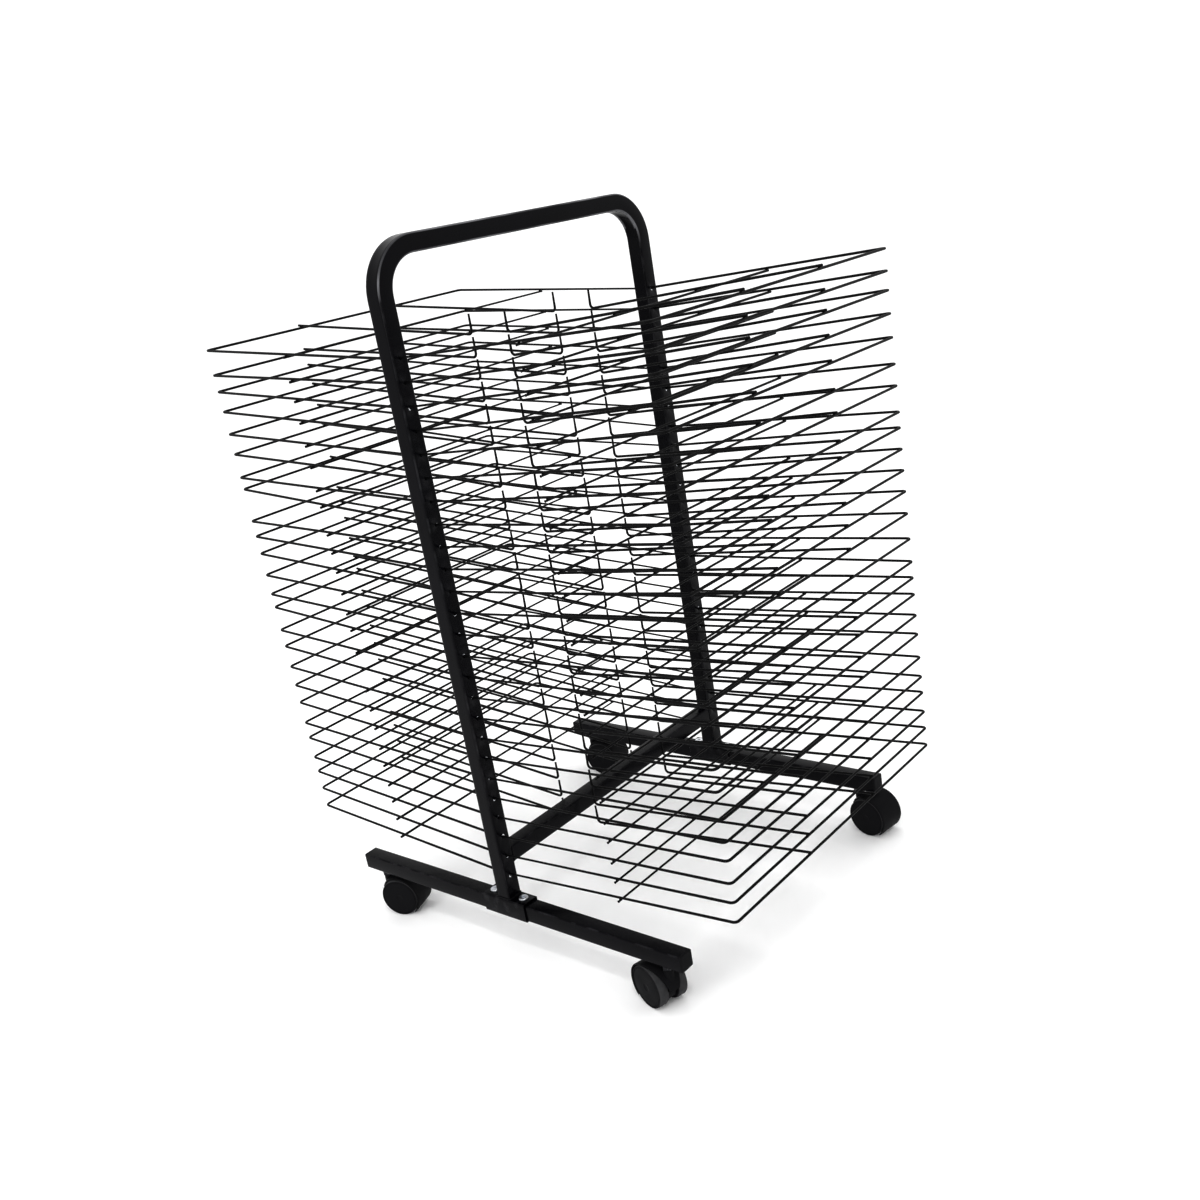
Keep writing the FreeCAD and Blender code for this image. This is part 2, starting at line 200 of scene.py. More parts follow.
class Shader:
    """A principled material with a few short calls for its procedural nodes."""

    def __init__(self, name):
        self.material = bpy.data.materials.new(name)
        self.material.use_nodes = True
        self.tree = self.material.node_tree
        self.surface = self.tree.nodes["Principled BSDF"]
        self.place = self.node("ShaderNodeTexCoord").outputs["Object"]

    def node(self, kind, **settings):
        made = self.tree.nodes.new(kind)
        for key, value in settings.items():
            setattr(made, key, value)
        return made

    def link(self, source, target):
        self.tree.links.new(source, target)

    def set(self, **values):
        for key, value in values.items():
            self.surface.inputs[key.replace("_", " ")].default_value = value

    def noise(self, scale, detail=3.0, stretch=None):
        """A noise of so many features per metre; stretch scales its axes."""
        made = self.node("ShaderNodeTexNoise")
        made.inputs["Scale"].default_value = scale
        made.inputs["Detail"].default_value = detail
        place = self.place
        if stretch:
            mapping = self.node("ShaderNodeMapping")
            mapping.inputs["Scale"].default_value = stretch
            self.link(self.place, mapping.inputs["Vector"])
            place = mapping.outputs["Vector"]
        self.link(place, made.inputs["Vector"])
        return made.outputs["Fac"]

    def ramp(self, source, low, high, from_value, to_value):
        """Maps a source between low and high onto a number between two values."""
        made = self.node("ShaderNodeMapRange")
        made.inputs["From Min"].default_value = low
        made.inputs["From Max"].default_value = high
        made.inputs["To Min"].default_value = from_value
        made.inputs["To Max"].default_value = to_value
        self.link(source, made.inputs["Value"])
        return made.outputs["Result"]

    def mix(self, factor, first, second):
        made = self.node("ShaderNodeMix", data_type="RGBA")
        self.link(factor, made.inputs["Factor"])
        for socket, value in (("A", first), ("B", second)):
            target = [s for s in made.inputs if s.name == socket and s.type == "RGBA"][0]
            if isinstance(value, tuple):
                target.default_value = (*value, 1)
            else:
                self.link(value, target)
        return [s for s in made.outputs if s.type == "RGBA"][0]

    def worn_and_highlit_edges(self):
        """Is 1 along the rounded edges that mark_edges has found in a mesh."""
        return self.node("ShaderNodeAttribute", attribute_name=EDGE_MARK).outputs["Fac"]

    def times(self, first, second):
        made = self.node("ShaderNodeMath", operation="MULTIPLY")
        self.link(first, made.inputs[0])
        self.link(second, made.inputs[1])
        return made.outputs[0]

    def bump(self, *layers):
        """Layers of (height source, depth in metres), laid over one another."""
        normal = None
        for height, depth in layers:
            made = self.node("ShaderNodeBump")
            made.inputs["Strength"].default_value = 1.0
            made.inputs["Distance"].default_value = depth
            self.link(height, made.inputs["Height"])
            if normal:
                self.link(normal, made.inputs["Normal"])
            normal = made.outputs["Normal"]
        self.link(normal, self.surface.inputs["Normal"])

    def colour(self, source):
        self.link(source, self.surface.inputs["Base Color"])

    def roughness(self, source):
        self.link(source, self.surface.inputs["Roughness"])


def powder_coat(name, tone, rough, grain):
    """Black powder coat: a fine orange peel, cloudy sheen, lightly rubbed edges and a painted
    highlight along the edges of the bends.
    """
    s = Shader(name)
    s.set(Specular_IOR_Level=0.1)
    clouds = s.noise(18, 4)
    dust = s.noise(420, 2)
    dark = tuple(c * 0.8 for c in tone)
    light = tuple(c * 1.3 + 0.0004 for c in tone)
    base = s.mix(s.ramp(clouds, 0.35, 0.65, 0, 1), dark, light)
    edges = s.worn_and_highlit_edges()
    rubbed = s.times(edges, s.ramp(s.noise(60, 5), 0.45, 0.7, 0, 1))
    rubbed = s.mix(rubbed, base, (0.02, 0.02, 0.022))
    # Painted highlight: high on the frame, at the bends, the rounded edges are coloured light
    # grey in patches.
    split = s.node("ShaderNodeSeparateXYZ")
    s.link(s.place, split.inputs["Vector"])
    bend_highlight = s.times(edges, s.ramp(split.outputs["Z"], HIGHLIGHT_LOW, HIGHLIGHT_HIGH, 0, 1))
    bend_highlight = s.times(bend_highlight, s.ramp(s.noise(14, 2), 0.4, 0.6, 0.15, 1))
    s.colour(s.mix(bend_highlight, rubbed, (0.17, 0.17, 0.18)))
    s.roughness(s.ramp(s.noise(9, 5), 0.3, 0.7, rough - 0.05, rough + 0.08))
    s.bump((s.noise(grain, 3), 0.05 * MM), (dust, 0.015 * MM))
    return s.material


def dark_steel():
    """Near-black steel with a thin oily film and rubbed corners."""
    s = Shader("dark_steel")
    s.set(Metallic=1.0)
    rubbed = s.ramp(s.noise(300, 4), 0.55, 0.75, 0, 1)
    s.colour(s.mix(rubbed, (0.03, 0.03, 0.033), (0.30, 0.30, 0.31)))
    s.roughness(s.ramp(s.noise(420, 4), 0.3, 0.7, 0.25, 0.42))
    s.bump((s.noise(900, 3), 0.02 * MM))
    return s.material


def zinc_plate():
    """Bright zinc with a faint bluish passivation, brushed by the thread rolling."""
    s = Shader("zinc")
    s.set(Metallic=1.0)
    film = s.noise(140, 3)
    s.colour(s.mix(s.ramp(film, 0.35, 0.7, 0, 1), (0.72, 0.73, 0.74), (0.62, 0.64, 0.68)))
    s.roughness(s.ramp(s.noise(500, 4), 0.3, 0.7, 0.22, 0.4))
    s.bump((s.noise(900, 3, stretch=(1, 1, 0.1)), 0.03 * MM))
    return s.material


def moulded_plastic(name, tone, rough, grain_depth):
    """Injection-moulded black plastic with a spark-eroded grain and a little dust."""
    s = Shader(name)
    s.set(Specular_IOR_Level=0.04)
    dust = s.ramp(s.noise(35, 5), 0.5, 0.75, 0, 0.35)
    s.colour(s.mix(dust, tone, tuple(c * 1.5 + 0.002 for c in tone)))
    s.roughness(s.ramp(s.noise(60, 4), 0.3, 0.7, rough - 0.07, rough + 0.08))
    s.bump((s.noise(1600, 2), grain_depth), (s.noise(70, 2), 0.04 * MM))
    return s.material


def wheel_material():
    """The same plastic, dark on the disc, with painted light on the tread, which is coloured
    lighter in patches.
    """
    s = Shader("wheel_tread")
    s.set(Specular_IOR_Level=0.04)
    mapping = s.node("ShaderNodeMapping")
    mapping.inputs["Scale"].default_value = (0, 1, 1)
    s.link(s.place, mapping.inputs["Vector"])
    length = s.node("ShaderNodeVectorMath", operation="LENGTH")
    s.link(mapping.outputs["Vector"], length.inputs[0])
    tread = s.ramp(length.outputs["Value"], *TREAD_START, 0, 1)
    # Painted light: the tread is coloured lighter than the disc, unevenly, as if lit.
    painted_tread_light = s.times(tread, s.ramp(s.noise(90, 4), 0.3, 0.6, 0.6, 1))
    s.colour(s.mix(painted_tread_light, (0.0085, 0.0085, 0.0096), (0.0520, 0.0520, 0.0540)))
    s.roughness(s.ramp(s.noise(60, 4), 0.3, 0.7, 0.38, 0.55))
    s.bump((s.noise(1600, 2), 0.015 * MM), (s.noise(70, 2), 0.04 * MM))
    return s.material


def floor_material():
    s = Shader("floor_paper")
    s.set(Specular_IOR_Level=0.15)
    s.colour(s.mix(s.ramp(s.noise(2), 0.3, 0.7, 0, 1), (0.93, 0.93, 0.93), (0.95, 0.95, 0.95)))
    s.roughness(s.ramp(s.noise(30), 0.3, 0.7, 0.7, 0.85))
    s.bump((s.noise(220, 4), 0.05 * MM))
    return s.material


# --- mesh helpers ----------------------------------------------------------------

def build_mesh(name, verts, faces, material, smooth_under=35):
    mesh = bpy.data.meshes.new(name)
    mesh.from_pydata(verts, [], faces)
    editable = bmesh.new()
    editable.from_mesh(mesh)
    bmesh.ops.remove_doubles(editable, verts=editable.verts, dist=1e-7)
    bmesh.ops.recalc_face_normals(editable, faces=editable.faces)
    editable.to_mesh(mesh)
    editable.free()
    mesh.shade_smooth()
    mesh.set_sharp_from_angle(angle=math.radians(smooth_under))
    mesh.materials.append(material)
    return mesh


def mark_edges(piece):
    """Marks the middle of every rounded edge, for the coating's wear and the painted highlight
    along the bends.
    """
    editable = bmesh.new()
    editable.from_mesh(piece.data)
    low, high = EDGE_ANGLES
    marks = []
    for vert in editable.verts:
        marks.append(float(any(low < e.calc_face_angle(0) < high for e in vert.link_edges)))
    editable.free()
    attribute = piece.data.attributes.new(EDGE_MARK, "FLOAT", "POINT")
    attribute.data.foreach_set("value", marks)


def place_piece(name, mesh, matrix, body, replaced=()):
    piece = bpy.data.objects.new(name, mesh)
    bpy.context.collection.objects.link(piece)
    piece.matrix_world = matrix
    if body:
        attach(piece, body)
    if replaced:
        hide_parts(*replaced)
    return piece


def mesh_piece(name, verts, faces, material, body, replaced=(), slot=None, smooth_under=35):
    mesh = build_mesh(name, verts, faces, material, smooth_under)
    return place_piece(name, mesh, Matrix.Identity(4), body, replaced)


class Shape:
    """Vertices and faces gathered from several simple forms."""

    def __init__(self):
        self.verts = []
        self.faces = []

    def add(self, verts, faces, matrix=None):
        start = len(self.verts)
        self.verts += [matrix @ Vector(v) if matrix else Vector(v) for v in verts]
        self.faces += [tuple(start + i for i in face) for face in faces]

    def data(self):
        return self.verts, self.faces


def ring(centre, across, up, profile):
    return [centre + across * a + up * b for a, b in profile]


def skin(rings, capped=True, closed=False):
    """Joins rings of equal length, each to the next."""
    count = len(rings[0])
    verts = [v for loop in rings for v in loop]
    faces = []
    spans = len(rings) if closed else len(rings) - 1
    for k in range(spans):
        low, high = k * count, (k + 1) % len(rings) * count
        for j in range(count):
            n = (j + 1) % count
            faces.append((low + j, low + n, high + n, high + j))
    if capped and not closed:
        faces.append(tuple(range(count)))
        faces.append(tuple(range(len(verts) - count, len(verts))))
    return verts, faces


def circle(radius, sides, phase=0.0):
    turns = [2 * math.pi * (k + phase) / sides for k in range(sides)]
    return [(radius * math.cos(t), radius * math.sin(t)) for t in turns]


def rounded_square(size, edge, steps):
    """Corner by corner from (+, +); steps + 1 points each, the flats between them."""
    straight = size / 2 - edge
    points = []
    for quarter in range(4):
        a, b = [(1, 1), (-1, 1), (-1, -1), (1, -1)][quarter]
        for k in range(steps + 1):
            t = math.pi / 2 * (quarter + k / steps)
            points.append((a * straight + edge * math.cos(t),
                           b * straight + edge * math.sin(t)))
    return points


def lathe(profile, centre, axis, side, steps):
    """Turns (along, radius) points once round an axis; side is the zero direction."""
    other = axis.cross(side)
    rings = []
    for k in range(steps):
        t = 2 * math.pi * k / steps
        out = side * math.cos(t) + other * math.sin(t)
        rings.append([centre + axis * along + out * radius for along, radius in profile])
    return rings


def rounded_path(points, bend, steps):
    """Points and directions along a path whose corners are rounded to one radius."""
    stations = []
    last = len(points) - 1
    stations.append((points[0], (points[1] - points[0]).normalized()))
    for k in range(1, last):
        before = (points[k] - points[k - 1]).normalized()
        after = (points[k + 1] - points[k]).normalized()
        turn = before.angle(after)
        reach = bend * math.tan(turn / 2)
        normal = before.cross(after).normalized()
        inward = normal.cross(before)
        pivot = points[k] - before * reach + inward * bend
        for s in range(steps + 1):
            t = turn * s / steps
            spoke = -inward * math.cos(t) + before * math.sin(t)
            along = before * math.cos(t) + inward * math.sin(t)
            stations.append((pivot + spoke * bend, along))
    stations.append((points[last], (points[last] - points[last - 1]).normalized()))
    return stations


def wire(points, plane_normal, bend=0.0, steps=6):
    """Round wire along a path in one plane, its cut ends slightly chamfered."""
    profile = circle(WIRE / 2, WIRE_SIDES)
    chamfered = circle(WIRE / 2 - WIRE_CHAMFER, WIRE_SIDES)
    stations = rounded_path(points, bend, steps)
    rings = []
    for at, along in stations:
        rings.append(ring(at, along.cross(plane_normal), plane_normal, profile))
    for place, index in ((0, 0), (len(rings), -1)):
        at, along = stations[index]
        across = along.cross(plane_normal)
        outwards = -along if index == 0 else along
        rings[index] = ring(at - outwards * WIRE_CHAMFER, across, plane_normal, profile)
        rings.insert(place, ring(at, across, plane_normal, chamfered))
    return skin(rings)


def weld_spot(centre):
    """A small squashed ball, as a resistance weld leaves between two wires."""
    loops = []
    levels, sides = 6, 10
    for k in range(levels):
        t = math.pi * (k + 0.5) / levels - math.pi / 2
        level = centre + Z * (WELD_RADII.z * math.sin(t))
        profile = [(x * WELD_RADII.x, y * WELD_RADII.y) for x, y in circle(math.cos(t), sides)]
        loops.append(ring(level, X, Y, profile))
    return skin(loops)


def weld_bead(outline, thickness, ripple, seed):
    """A rippled bead along a closed outline of (point, outward, along)."""
    wobble = random.Random(seed)
    rings = []
    length = 0.0
    for k, (at, outward, along) in enumerate(outline):
        length += (at - outline[k - 1][0]).length if k else 0.0
        wave = 1 + 0.16 * math.cos(2 * math.pi * length / ripple) + wobble.uniform(-0.07, 0.07)
        rings.append(ring(at, outward, along.cross(outward), circle(thickness * wave, 8)))
    return skin(rings, closed=True)


# --- tubes -----------------------------------------------------------------------

def frame_stations():
    """Centre, direction and share of the bend along the frame's bent tube."""
    straight_top = FRAME_TOP - TUBE / 2 - FRAME_BEND
    first_cell = FIRST_SHELF - SHELF_PITCH / 2
    heights = [SLEEVE_TOP] + [first_cell + SHELF_PITCH * k for k in range(SHELF_COUNT + 1)]
    left = [(Vector((-UPRIGHT_X, 0, z)), Z, 0.0) for z in heights + [straight_top]]
    bends = []
    steps = 18
    for side in (-1, 1):
        pivot = Vector((side * (UPRIGHT_X - FRAME_BEND), 0, straight_top))
        for k in range(1, steps):
            t = math.pi / 2 * k / steps
            out, up = (math.cos(t), math.sin(t)) if side < 0 else (math.sin(t), math.cos(t))
            at = pivot + X * (side * out * FRAME_BEND) + Z * (up * FRAME_BEND)
            along = X * up + Z * (-side * out)
            bends.append((at, along, math.sin(math.pi * k / steps)))
        if side < 0:
            for end in (-1, 1):
                at = Vector((end * (UPRIGHT_X - FRAME_BEND), 0, FRAME_TOP - TUBE / 2))
                bends.append((at, X, 0.0))
    right = [(Vector((UPRIGHT_X, 0, at.z)), -Z, 0.0) for at, _, _ in reversed(left)]
    return left, bends, right


def dimpled(profile, share):
    """A bend's outline: its inner wall is pressed in and its outer wall a little flat."""
    half = TUBE / 2
    moved = []
    for a, b in profile:
        bow = max(0.0, 1 - (b / (half - TUBE_EDGE)) ** 2)
        inner = BEND_DIMPLE if a > half - TUBE_EDGE else 0.0
        outer = BEND_DIMPLE * 0.35 if a < TUBE_EDGE - half else 0.0
        moved.append((a - (inner * bow - outer * bow) * share, b))
    return moved


def dense_square(size, edge, per_flat):
    """A rounded square with extra points on the two walls that face along across."""
    corners = rounded_square(size, edge, EDGE_STEPS)
    n = EDGE_STEPS + 1
    points = []
    for quarter in range(4):
        points += corners[quarter * n:(quarter + 1) * n]
        if quarter in (1, 3):
            first = corners[(quarter + 1) * n - 1]
            last = corners[(quarter + 1) * n % (4 * n)]
            for k in range(1, per_flat):
                share = k / per_flat
                points.append(tuple(f + (g - f) * share for f, g in zip(first, last)))
    return points


def hole_cell(corners, facing):
    """A flat cell with a round hole, softly edged, and the hole's wall behind it."""
    centre = sum(corners, Vector()) / 4
    across = (corners[1] - corners[0]).normalized()
    up = facing.cross(across)
    if up.dot(corners[3] - corners[0]) < 0:
        up = -up
    soft = HOLE_EDGE * 0.3
    loops = []
    for r, depth in ((HOLE_RADIUS + HOLE_EDGE, 0.0), (HOLE_RADIUS + soft, soft),
                     (HOLE_RADIUS, HOLE_EDGE), (HOLE_RADIUS, TUBE_WALL)):
        loops.append(ring(centre - facing * depth, across, up, circle(r, HOLE_SIDES, 0.5)))
    verts, faces = skin(loops, capped=False)
    start = len(verts)
    faces.append(tuple(range(start - HOLE_SIDES, start)))
    verts += corners
    quarter = HOLE_SIDES // 4
    for k in range(4):
        arc = [(HOLE_SIDES * 5 // 8 + quarter * k + j) % HOLE_SIDES for j in range(quarter)]
        arc.append((arc[-1] + 1) % HOLE_SIDES)
        faces.append((start + k, start + (k + 1) % 4, *reversed(arc)))
    return verts, faces


def bent_frame(coat):
    """The bent tube with a softly edged hole for each rim rod."""
    left, bends, right = frame_stations()
    per_flat = 6
    profile = dense_square(TUBE, TUBE_EDGE, per_flat)
    count = len(profile)
    stations = left + bends + right
    rings = []
    for at, along, share in stations:
        rings.append(ring(at, Y.cross(along), Y, dimpled(profile, share)))
    verts, faces = skin(rings)
    # The two flats that face along Y, by the point of the profile where each starts.
    n = EDGE_STEPS + 1
    flats = {n - 1: Y, 3 * n - 1 + per_flat - 1: -Y}
    # The spans between stations that hold a shelf's holes, on one upright and the other.
    holed = set(range(1, SHELF_COUNT + 1))
    last = len(stations) - 2
    holed |= {last - k for k in holed}
    shape = Shape()
    kept = []
    for index, face in enumerate(faces):
        k, j = divmod(index, count)
        if k in holed and j in flats:
            corners = [verts[i] for i in face]
            shape.add(*hole_cell(corners, flats[j]))
        else:
            kept.append(face)
    shape.add(verts, kept)
    mark_edges(mesh_piece("frame_tube", *shape.data(), coat, "rack", ["u_frame"],
                          "frame_paint", 30))


def paint_chips(steel):
    """Bare crescents where a rod has scraped the coat off the edge of its hole."""
    chance = random.Random(11)
    shape = Shape()
    steps = 6
    for side in (-1, 1):
        for number in range(SHELF_COUNT):
            for face in (-1, 1):
                start, sweep = chance.uniform(0, 2 * math.pi), chance.uniform(1.2, 2.4)
                width = chance.uniform(0.6, 1.6) * MM
                if chance.random() > CHIP_SHARE:
                    continue
                centre = Vector((side * UPRIGHT_X, 0, FIRST_SHELF + SHELF_PITCH * number))
                loop = []
                for k in range(steps + 1):
                    loop.append((start + sweep * k / steps, CHIP_INNER))
                for k in range(steps - 1, 0, -1):
                    swell = width * math.sin(math.pi * k / steps)
                    loop.append((start + sweep * k / steps, CHIP_INNER + swell))
                loop = [(r * math.cos(t), r * math.sin(t)) for t, r in loop]
                depths = [Y * (face * (TUBE / 2 + d * MM)) for d in (-0.2, 0.02)]
                shape.add(*skin([ring(centre + depth, X, Z, loop) for depth in depths]))
    mesh_piece("paint_chips", *shape.data(), steel, "rack", (), "frame_paint")


def straight_tube(low, high, along, edge, wall=None):
    """A rounded square tube filling a box; with a wall it is open at its ends."""
    middle = (low + high) / 2
    half = abs((high - low).dot(along)) / 2
    across = X if along is not X else Y
    up = along.cross(across)
    size = (high - low).z
    outer = rounded_square(size, edge, EDGE_STEPS)
    ends = (middle - along * half, middle + along * half)
    if wall is None:
        return skin([ring(at, across, up, outer) for at in ends])
    lip = 0.25 * MM
    inner = rounded_square(size - 2 * wall, max(edge - wall, 0.3 * MM), EDGE_STEPS)
    faced = rounded_square(size - 2 * lip, edge, EDGE_STEPS)
    rings = [
        ring(ends[0] + along * lip, across, up, outer),
        ring(ends[1] - along * lip, across, up, outer),
        ring(ends[1], across, up, faced),
        ring(ends[1], across, up, inner),
        ring(ends[0], across, up, inner),
        ring(ends[0], across, up, faced),
    ]
    return skin(rings, closed=True)


def square_outline(centre, across, up, size):
    """Closely spaced (point, outward, along) round a tube's outline."""
    corners = ring(centre, across, up, rounded_square(size, TUBE_EDGE, 3))
    outline = []
    for k, at in enumerate(corners):
        after = corners[(k + 1) % len(corners)]
        along = (after - at).normalized()
        outward = along.cross(across.cross(up))
        pieces = max(1, round((after - at).length / BEAD_SPACING))
        for s in range(pieces):
            outline.append((at + (after - at) * (s / pieces), outward, along))
    return outline


def make_frame(coat):
    bent_frame(coat)
    shape = straight_tube(bar_low, bar_high, X, TUBE_EDGE)
    mark_edges(mesh_piece("crossbar_tube", *shape, coat, "rack", ["crossbar"], "frame_paint"))
    beads = Shape()
    for side in (-1, 1):
        end = Vector((side * (bar_high.x + 0.2 * MM), 0, (bar_low.z + bar_high.z) / 2))
        outline = square_outline(end - X * side * 0.4 * MM, Y, Z, TUBE - 0.6 * MM)
        beads.add(*weld_bead(outline, 1.1 * MM, 2.2 * MM, side))
        base = Vector((side * UPRIGHT_X, 0, SLEEVE_TOP))
        outline = square_outline(base, X, Y, TUBE)
        beads.add(*weld_bead(outline, 1.3 * MM, 2.4 * MM, side + 5))
    mesh_piece("weld_beads", *beads.data(), coat, "rack", (), "frame_paint", 60)


def make_feet(coat, plastic, zinc):
    for side, name in ((-1, "left"), (1, "right")):
        low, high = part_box("sleeve_" + name)
        shape = straight_tube(low, high, Y, SLEEVE_EDGE, SLEEVE_WALL)
        mark_edges(mesh_piece("sleeve_tube_" + name, *shape, coat, "rack", ["sleeve_" + name],
                              "frame_paint"))
        low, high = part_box("foot_" + name)
        shape = straight_tube(low, high, Y, TUBE_EDGE)
        mark_edges(mesh_piece("foot_tube_" + name, *shape, coat, "rack", ["foot_" + name],
                              "frame_paint"))
    caps = Shape()
    screws = Shape()
    for side in (-1, 1):
        for end in (-1, 1):
            seat = Vector((side * UPRIGHT_X, end * foot_high.y, (foot_low.z + foot_high.z) / 2))
            caps.add(*end_cap(seat, Y * end))
            at = Vector((side * UPRIGHT_X, end * CLAMP_SPACING / 2, SLEEVE_TOP))
            screws.add(*clamp_screw(at))
    mesh_piece("end_caps", *caps.data(), plastic, "rack", ["foot_end_caps"], "castor_plastic")
    mesh_piece("sleeve_screws", *screws.data(), zinc, "rack", ["clamp_screws"], "zinc")


def end_cap(seat, outward):
    """A flush end plug with a soft edge and a slightly raised middle."""
    thick = cap_high.y - foot_high.y
    rings = []
    # How far each ring stands in from the tube's outline, in mm, and its share of the thickness.
    for inset, reach in ((0, 0), (0, 0.55), (0.25, 0.85), (0.9, 1.0), (3.0, 0.97), (6.5, 1.0)):
        size = TUBE - 2 * inset * MM
        edge = max(TUBE_EDGE - inset * MM, 0.6 * MM)
        rings.append(ring(seat + outward * (thick * reach), X, Z,
                          rounded_square(size, edge, EDGE_STEPS)))
    return skin(rings)


def clamp_screw(seat):
    """A zinc screw head with a chamfered rim and a hexagon socket."""
    # (height, radius) in mm, up the head, over its top and down the socket.
    profile = [(0.0, 5.4), (0.3, 5.8), (1.6, 5.8), (2.2, 5.3), (2.4, 4.6), (2.4, 2.2), (0.9, 2.0)]
    socket_below = 3
    rings = []
    for height, radius in profile:
        corners = circle(radius * MM, 24)
        if radius < socket_below:
            corners = [flatten_to_hexagon(c) for c in corners]
        rings.append(ring(seat + Z * (height * MM), X, Y, corners))
    return skin(rings)


def flatten_to_hexagon(point):
    """Moves a point of a circle onto the hexagon around it."""
    radius, turn = math.hypot(*point), math.atan2(point[1], point[0])
    sector = math.pi / 3
    off = (turn % sector) - sector / 2
    reach = radius * math.cos(sector / 2) / math.cos(off)
    return reach * math.cos(turn), reach * math.sin(turn)


# --- shelves ---------------------------------------------------------------------

def wing_mesh(coat):
    """One wing in its own plane: x across, y outwards along the slope, z square to it."""
    shape = Shape()
    stretch = 1 / math.cos(SLOPE)
    inner = (TUBE / 2 - ROD_INSET) * stretch
    reach = WING_REACH * stretch
    corners = [(-UPRIGHT_X, inner), (-UPRIGHT_X, reach), (UPRIGHT_X, reach), (UPRIGHT_X, inner)]
    shape.add(*wire([Vector((x, y, 0)) for x, y in corners], Z, RIM_BEND, steps=7))

    cross = CROSS_WIRE_REACH * stretch
    end = UPRIGHT_X + OVERHANG
    under = Vector((0, cross, -WIRE))
    shape.add(*wire([under - X * end, under + X * end], Z))

    upright = Vector((0, math.sin(SLOPE), math.cos(SLOPE)))
    for k in range(STOP_WIRES):
        x = -UPRIGHT_X + 2 * UPRIGHT_X * (k + 1) / (STOP_WIRES + 1)
        on_cross, on_end = Vector((x, cross, 0)), Vector((x, reach, WIRE))
        run = (on_end - on_cross).normalized()
        corner = on_cross - run * ((CROSS_WIRE_REACH - STOP_SETBACK) * stretch)
        tip = on_end + run * OVERHANG
        shape.add(*wire([tip, corner, corner + upright * STOP_HEIGHT], X, STOP_BEND, steps=6))
        for at in (on_cross - Z * (WIRE / 2), on_end - Z * (WIRE / 2)):
            shape.add(*weld_spot(at))
    for side in (-1, 1):
        shape.add(*weld_spot(Vector((side * UPRIGHT_X, cross, -WIRE / 2))))
    return build_mesh("wing", *shape.data(), coat, 40)


def make_shelves(coat):
    """Every wing hangs a little differently in its holes."""
    mesh = wing_mesh(coat)
    uneven = random.Random(7)
    for number in range(1, SHELF_COUNT + 1):
        level = FIRST_SHELF + SHELF_PITCH * (number - 1)
        for around, name, sag in ((0, "rear", REAR_SAG), (180, "front", FRONT_SAG)):
            tilt = SLOPE - math.radians(sag.get(number, 0)) + uneven.uniform(-1, 1) * WING_TWIST
            turn = Matrix.Rotation(math.radians(around), 4, "Z") @ Matrix.Rotation(tilt, 4, "X")
            matrix = Matrix.Translation(Z * level) @ turn @ Matrix.Translation(Y * -WING_SLIP)
            place_piece("wing_%s_%02d" % (name, number), mesh, matrix, "rack",
                        ["shelf_%02d" % number])


# --- castors: stem at the origin, the wheels trailing towards +Y ------------------

def side_point(x, forward, up):
    return Vector((x, TRAIL - forward, WHEEL_RADIUS + up))


def hood_front(x):
    """The angle where the hood starts: low at the web, flaring up to its outer sides."""
    share = (abs(x) - WHEEL_INNER) / (CASTOR_HALF - WHEEL_INNER)
    return HOOD_FRONT + HOOD_FLARE * max(0.0, share)


def hood_shell():
    """The fender: a rounded section swept round the axle from its slanted front edge."""
    half = CASTOR_HALF
    inner = HOOD_RADIUS - HOOD_WALL
    nick, soft = 0.3 * MM, 1.1 * MM
    cut = soft * 0.3
    columns = [half - soft, 16 * MM, 14 * MM, 12 * MM, 10 * MM, 8 * MM, WEB_WIDTH / 2, 3 * MM]
    top = [(-x, HOOD_RADIUS) for x in columns] + [(x, HOOD_RADIUS) for x in reversed(columns)]
    under = [(x, inner) for x in columns[1:]] + [(-x, inner) for x in reversed(columns[1:])]
    section = [(-half + nick, inner), (-half, inner + nick), (-half, HOOD_RADIUS - soft),
               (-half + cut, HOOD_RADIUS - cut), *top, (half - cut, HOOD_RADIUS - cut),
               (half, HOOD_RADIUS - soft), (half, inner + nick), (half - nick, inner), *under]
    lip = 0.45 * MM
    rings = []
    for k in range(-1, HOOD_STEPS + 2):
        share = min(max(k / HOOD_STEPS, 0), 1)
        loop = []
        for x, radius in section:
            first = hood_front(x)
            t = first + (HOOD_BACK - first) * share
            if k in (-1, HOOD_STEPS + 1):
                radius = min(max(radius, inner + lip), HOOD_RADIUS - lip)
            else:
                t += {0: lip, HOOD_STEPS: -lip}.get(k, 0) / HOOD_RADIUS
            loop.append(side_point(x, radius * math.cos(t), radius * math.sin(t)))
        rings.append(loop)
    return skin(rings)


def web_and_shade_sheet():
    """The plate between the wheels, its edges bevelled; below the axle it reaches almost to the
    floor, a dark sheet standing in for the shade between the wheels.
    """
    under = HOOD_RADIUS - HOOD_WALL + 0.4 * MM
    last = HOOD_BACK - 0.03
    outline = []
    for k in range(WEB_SIDES):
        t = 2 * math.pi * k / WEB_SIDES
        # Below the axle the web reaches down near the floor: a dark sheet standing in for the
        # shade between the wheels.
        reach = under if HOOD_FRONT <= t <= last else WEB_SHADE_DROP
        outline.append((reach * math.cos(t), reach * math.sin(t)))
    web, bevel = WEB_WIDTH / 2, 0.7 * MM
    loops = []
    for x, inset in ((-web, bevel), (-web + bevel, 0), (web - bevel, 0), (web, bevel)):
        loops.append([side_point(x, f - inset * f / under, u - inset * u / under)
                      for f, u in outline])
    return skin(loops)


